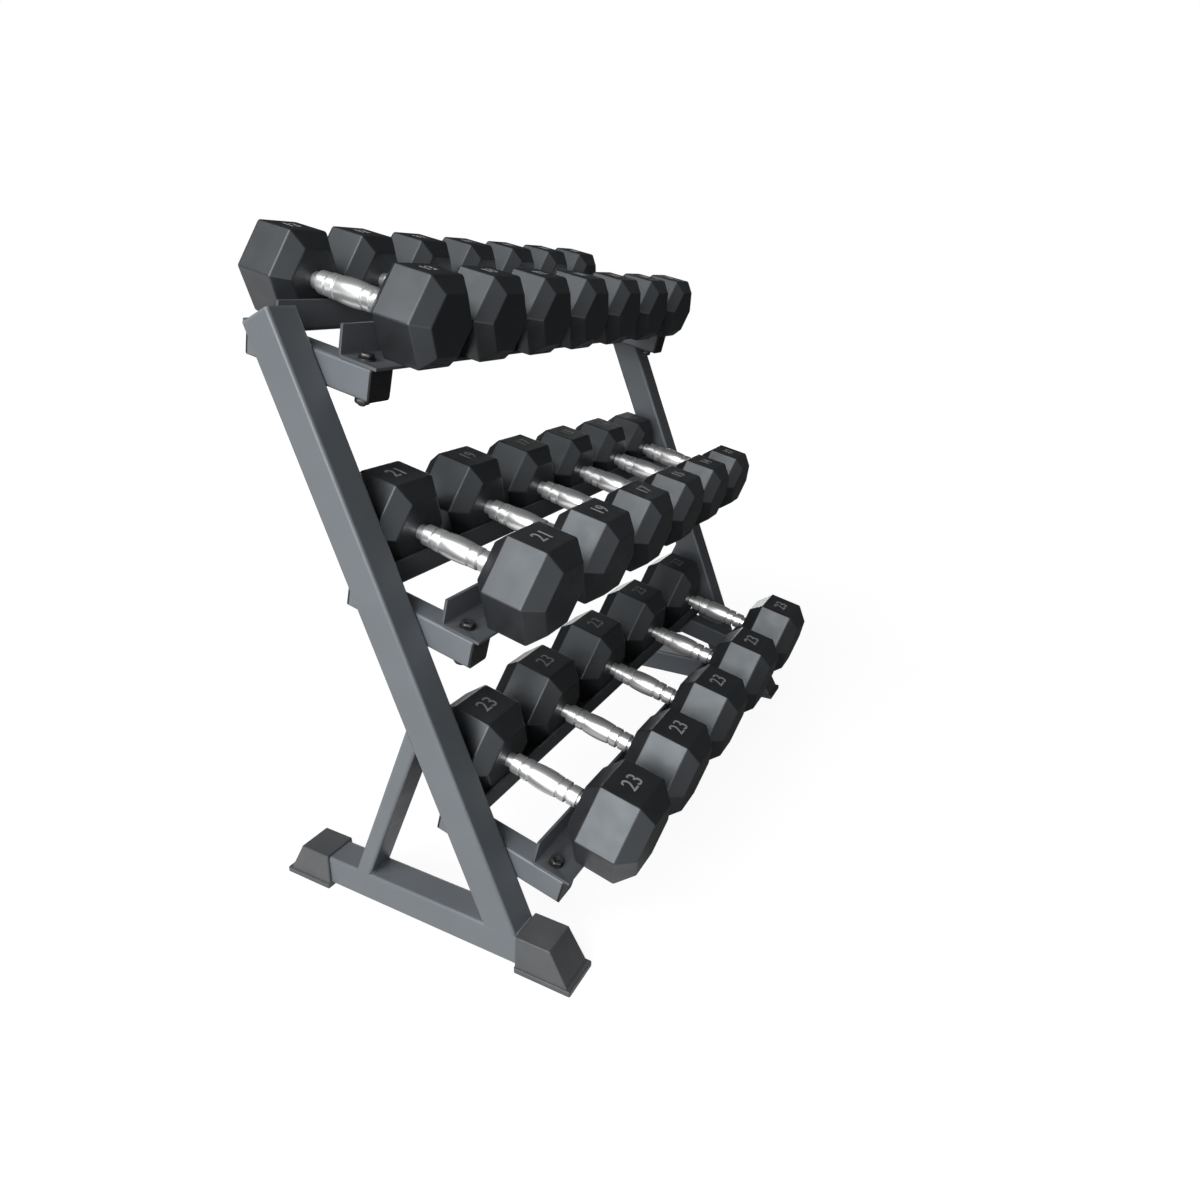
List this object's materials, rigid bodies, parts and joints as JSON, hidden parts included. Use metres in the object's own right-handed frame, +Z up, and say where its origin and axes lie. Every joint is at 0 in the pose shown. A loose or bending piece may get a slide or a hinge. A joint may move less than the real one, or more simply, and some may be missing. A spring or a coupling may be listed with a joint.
{
  "type": "dumbbell rack",
  "caption": "Leaning steel rack with tiers of sloping angle rails between two braced side frames, loaded with hexagonal dumbbells that lift off the rails.",
  "frame": {"origin": "on the floor under the middle of the loaded rack", "axes": "+X along the rails, away from the largest dumbbells; -Y to the front, where the shelves slope down; +Z up"},
  "size_m": [1.055, 0.6206, 0.9504],
  "materials": {
    "frame_paint": "satin grey",
    "rail_paint": "satin grey",
    "head_rubber": "iron under a black rubber skin",
    "handle_chrome": "polished chrome",
    "boot_rubber": "matt dark rubber",
    "upright_cap_plastic": "matt grey",
    "arm_cap_plastic": "matt black",
    "fastener_steel": "black finish"
  },
  "bodies": {
    "frame": {"left_base_tube": "frame_paint", "left_upright": "frame_paint", "left_brace": "frame_paint", "left_bottom_arm": "frame_paint", "left_middle_arm": "frame_paint", "left_top_arm": "frame_paint", "right_base_tube": "frame_paint", "right_upright": "frame_paint", "right_brace": "frame_paint", "right_bottom_arm": "frame_paint", "right_middle_arm": "frame_paint", "right_top_arm": "frame_paint", "bottom_front_rail": "rail_paint", "bottom_rear_rail": "rail_paint", "middle_front_rail": "rail_paint", "middle_rear_rail": "rail_paint", "top_front_rail": "rail_paint", "top_rear_rail": "rail_paint", "rubber_boots": "boot_rubber", "upright_caps": "upright_cap_plastic", "arm_caps": "arm_cap_plastic", "rail_bolts": "fastener_steel", "rail_washers": "fastener_steel", "rail_nuts": "fastener_steel"},
    "bottom_dumbbell_1": {"bottom_dumbbell_1_heads": "head_rubber", "bottom_dumbbell_1_handle": "handle_chrome"},
    "bottom_dumbbell_2": {"bottom_dumbbell_2_heads": "head_rubber", "bottom_dumbbell_2_handle": "handle_chrome"},
    "bottom_dumbbell_3": {"bottom_dumbbell_3_heads": "head_rubber", "bottom_dumbbell_3_handle": "handle_chrome"},
    "bottom_dumbbell_4": {"bottom_dumbbell_4_heads": "head_rubber", "bottom_dumbbell_4_handle": "handle_chrome"},
    "bottom_dumbbell_5": {"bottom_dumbbell_5_heads": "head_rubber", "bottom_dumbbell_5_handle": "handle_chrome"},
    "middle_dumbbell_1": {"middle_dumbbell_1_heads": "head_rubber", "middle_dumbbell_1_handle": "handle_chrome"},
    "middle_dumbbell_2": {"middle_dumbbell_2_heads": "head_rubber", "middle_dumbbell_2_handle": "handle_chrome"},
    "middle_dumbbell_3": {"middle_dumbbell_3_heads": "head_rubber", "middle_dumbbell_3_handle": "handle_chrome"},
    "middle_dumbbell_4": {"middle_dumbbell_4_heads": "head_rubber", "middle_dumbbell_4_handle": "handle_chrome"},
    "middle_dumbbell_5": {"middle_dumbbell_5_heads": "head_rubber", "middle_dumbbell_5_handle": "handle_chrome"},
    "middle_dumbbell_6": {"middle_dumbbell_6_heads": "head_rubber", "middle_dumbbell_6_handle": "handle_chrome"},
    "top_dumbbell_1": {"top_dumbbell_1_heads": "head_rubber", "top_dumbbell_1_handle": "handle_chrome"},
    "top_dumbbell_2": {"top_dumbbell_2_heads": "head_rubber", "top_dumbbell_2_handle": "handle_chrome"},
    "top_dumbbell_3": {"top_dumbbell_3_heads": "head_rubber", "top_dumbbell_3_handle": "handle_chrome"},
    "top_dumbbell_4": {"top_dumbbell_4_heads": "head_rubber", "top_dumbbell_4_handle": "handle_chrome"},
    "top_dumbbell_5": {"top_dumbbell_5_heads": "head_rubber", "top_dumbbell_5_handle": "handle_chrome"},
    "top_dumbbell_6": {"top_dumbbell_6_heads": "head_rubber", "top_dumbbell_6_handle": "handle_chrome"},
    "top_dumbbell_7": {"top_dumbbell_7_heads": "head_rubber", "top_dumbbell_7_handle": "handle_chrome"}
  },
  "joints": [
    {"name": "bottom_dumbbell_1_lift", "type": "slide", "parent": "frame", "child": "bottom_dumbbell_1", "axis": [0, -0.2436, 0.9699], "range_m": [0, 0.06]},
    {"name": "bottom_dumbbell_2_lift", "type": "slide", "parent": "frame", "child": "bottom_dumbbell_2", "axis": [0, -0.2436, 0.9699], "range_m": [0, 0.06]},
    {"name": "bottom_dumbbell_3_lift", "type": "slide", "parent": "frame", "child": "bottom_dumbbell_3", "axis": [0, -0.2436, 0.9699], "range_m": [0, 0.06]},
    {"name": "bottom_dumbbell_4_lift", "type": "slide", "parent": "frame", "child": "bottom_dumbbell_4", "axis": [0, -0.2436, 0.9699], "range_m": [0, 0.06]},
    {"name": "bottom_dumbbell_5_lift", "type": "slide", "parent": "frame", "child": "bottom_dumbbell_5", "axis": [0, -0.2436, 0.9699], "range_m": [0, 0.06]},
    {"name": "middle_dumbbell_1_lift", "type": "slide", "parent": "frame", "child": "middle_dumbbell_1", "axis": [0, -0.2436, 0.9699], "range_m": [0, 0.06]},
    {"name": "middle_dumbbell_2_lift", "type": "slide", "parent": "frame", "child": "middle_dumbbell_2", "axis": [0, -0.2436, 0.9699], "range_m": [0, 0.06]},
    {"name": "middle_dumbbell_3_lift", "type": "slide", "parent": "frame", "child": "middle_dumbbell_3", "axis": [0, -0.2436, 0.9699], "range_m": [0, 0.06]},
    {"name": "middle_dumbbell_4_lift", "type": "slide", "parent": "frame", "child": "middle_dumbbell_4", "axis": [0, -0.2436, 0.9699], "range_m": [0, 0.06]},
    {"name": "middle_dumbbell_5_lift", "type": "slide", "parent": "frame", "child": "middle_dumbbell_5", "axis": [0, -0.2436, 0.9699], "range_m": [0, 0.06]},
    {"name": "middle_dumbbell_6_lift", "type": "slide", "parent": "frame", "child": "middle_dumbbell_6", "axis": [0, -0.2436, 0.9699], "range_m": [0, 0.06]},
    {"name": "top_dumbbell_1_lift", "type": "slide", "parent": "frame", "child": "top_dumbbell_1", "axis": [0, -0.2436, 0.9699], "range_m": [0, 0.06]},
    {"name": "top_dumbbell_2_lift", "type": "slide", "parent": "frame", "child": "top_dumbbell_2", "axis": [0, -0.2436, 0.9699], "range_m": [0, 0.06]},
    {"name": "top_dumbbell_3_lift", "type": "slide", "parent": "frame", "child": "top_dumbbell_3", "axis": [0, -0.2436, 0.9699], "range_m": [0, 0.06]},
    {"name": "top_dumbbell_4_lift", "type": "slide", "parent": "frame", "child": "top_dumbbell_4", "axis": [0, -0.2436, 0.9699], "range_m": [0, 0.06]},
    {"name": "top_dumbbell_5_lift", "type": "slide", "parent": "frame", "child": "top_dumbbell_5", "axis": [0, -0.2436, 0.9699], "range_m": [0, 0.06]},
    {"name": "top_dumbbell_6_lift", "type": "slide", "parent": "frame", "child": "top_dumbbell_6", "axis": [0, -0.2436, 0.9699], "range_m": [0, 0.06]},
    {"name": "top_dumbbell_7_lift", "type": "slide", "parent": "frame", "child": "top_dumbbell_7", "axis": [0, -0.2436, 0.9699], "range_m": [0, 0.06]}
  ]
}
